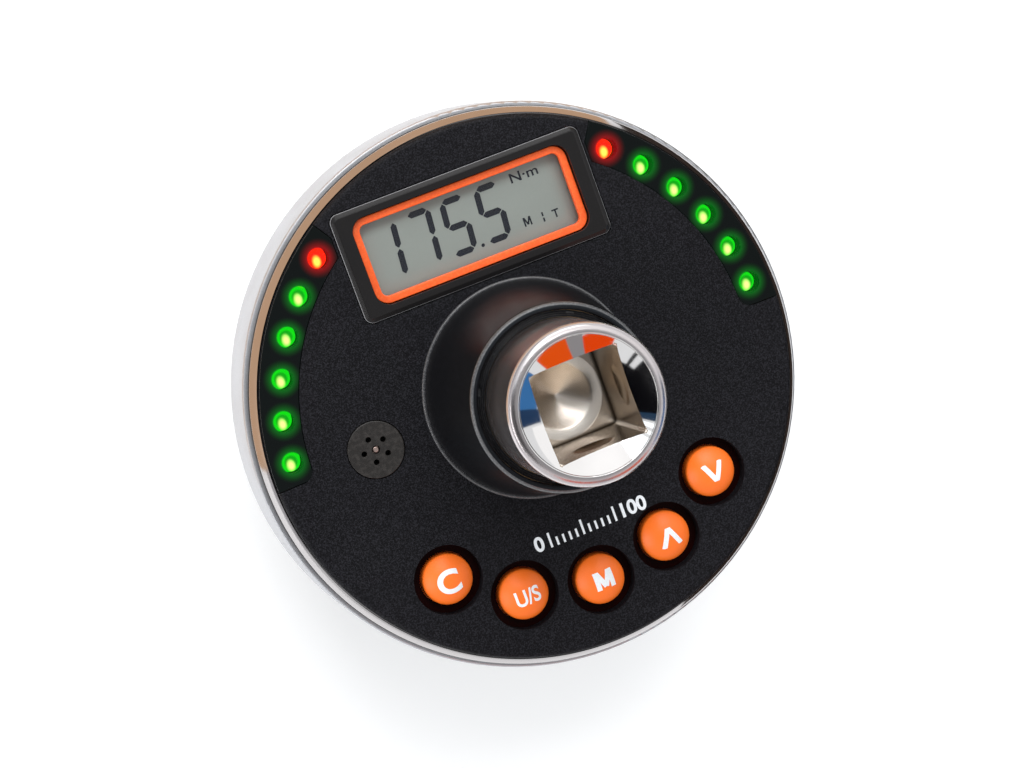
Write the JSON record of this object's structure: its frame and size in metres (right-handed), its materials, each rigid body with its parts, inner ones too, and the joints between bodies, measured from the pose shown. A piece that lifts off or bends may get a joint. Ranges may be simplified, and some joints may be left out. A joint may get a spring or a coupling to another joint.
{
  "type": "torque tester",
  "caption": "Round bench torque tester with a square-drive steel transducer head, a digital display, indicator lamps, push buttons and a hexagonal foot for a vice.",
  "frame": {"origin": "centre of the hexagonal foot's underside, on the torque axis", "axes": "+Z along the torque axis from the foot to the square-drive head; +Y towards the top of the display; +X to the right of the display"},
  "size_m": [0.085, 0.085, 0.0761],
  "materials": {
    "chromed_steel": "polished chrome on steel",
    "steel_screw": "dark zinc",
    "cast_aluminium": "satin",
    "polished_aluminium": "polished",
    "black_plate": "fine spark texture",
    "black_collar": "satin",
    "black_bezel": "smooth satin",
    "black_case": "fine spark texture",
    "black_rubber": "plain",
    "bronze": "turned",
    "gauge_film": "film",
    "flex_film": "film",
    "orange_trim": "satin",
    "orange_button": "smooth satin",
    "clear_window": "clear",
    "display_panel": "liquid crystal, grey green",
    "connector_strip": "plain",
    "smoked_window": "smoked, glossy",
    "red_lamp": "lit",
    "green_lamp": "lit",
    "grille_pin": "plain",
    "board_green": "solder mask",
    "chip_black": "plain",
    "white_plastic": "plain",
    "cell_jacket": "smooth",
    "contact_steel": "nickel plated"
  },
  "bodies": {
    "case": {"torque_shaft": "chromed_steel", "flange_screws": "steel_screw", "housing": "cast_aluminium", "rim_ring": "polished_aluminium", "face_gasket": "black_rubber", "face_plate": "black_plate", "face_screws": "steel_screw", "front_collar": "black_collar", "collar_screws": "steel_screw", "collar_bush": "bronze", "shaft_seal": "black_rubber", "strain_gauges": "gauge_film", "gauge_flex": "flex_film", "display_bezel": "black_bezel", "display_trim": "orange_trim", "display_window": "clear_window", "lcd_panel": "display_panel", "lcd_connectors": "connector_strip", "lamp_window_left": "smoked_window", "lamp_window_right": "smoked_window", "red_lamps": "red_lamp", "green_lamps": "green_lamp", "buzzer_grille": "black_bezel", "grille_rivet": "grille_pin", "buzzer": "chip_black", "main_board": "board_green", "board_chips": "chip_black", "board_screws": "steel_screw", "key_switches": "chip_black", "rear_cover": "black_case", "rear_gasket": "black_rubber", "cover_screws": "steel_screw", "battery_left": "cell_jacket", "battery_right": "cell_jacket", "positive_contacts": "contact_steel", "negative_contacts": "contact_steel"},
    "clear_key": {"button_clear": "orange_button", "plunger_clear": "white_plastic"},
    "units_key": {"button_units": "orange_button", "plunger_units": "white_plastic"},
    "memory_key": {"button_memory": "orange_button", "plunger_memory": "white_plastic"},
    "up_key": {"button_up": "orange_button", "plunger_up": "white_plastic"},
    "down_key": {"button_down": "orange_button", "plunger_down": "white_plastic"},
    "lid_left": {"battery_lid_left": "black_case", "lid_screw_left": "steel_screw"},
    "lid_right": {"battery_lid_right": "black_case", "lid_screw_right": "steel_screw"}
  },
  "joints": [
    {"name": "clear_press", "type": "slide", "parent": "case", "child": "clear_key", "axis": [0, 0, -1], "range_m": [0, 0.0006], "stiffness_N_per_m": 900, "springref_m": -0.0006},
    {"name": "units_press", "type": "slide", "parent": "case", "child": "units_key", "axis": [0, 0, -1], "range_m": [0, 0.0006], "stiffness_N_per_m": 900, "springref_m": -0.0006},
    {"name": "memory_press", "type": "slide", "parent": "case", "child": "memory_key", "axis": [0, 0, -1], "range_m": [0, 0.0006], "stiffness_N_per_m": 900, "springref_m": -0.0006},
    {"name": "up_press", "type": "slide", "parent": "case", "child": "up_key", "axis": [0, 0, -1], "range_m": [0, 0.0006], "stiffness_N_per_m": 900, "springref_m": -0.0006},
    {"name": "down_press", "type": "slide", "parent": "case", "child": "down_key", "axis": [0, 0, -1], "range_m": [0, 0.0006], "stiffness_N_per_m": 900, "springref_m": -0.0006},
    {"name": "lid_left_lift", "type": "slide", "parent": "case", "child": "lid_left", "axis": [0, 0, -1], "range_m": [0, 0.012]},
    {"name": "lid_right_lift", "type": "slide", "parent": "case", "child": "lid_right", "axis": [0, 0, -1], "range_m": [0, 0.012]}
  ]
}
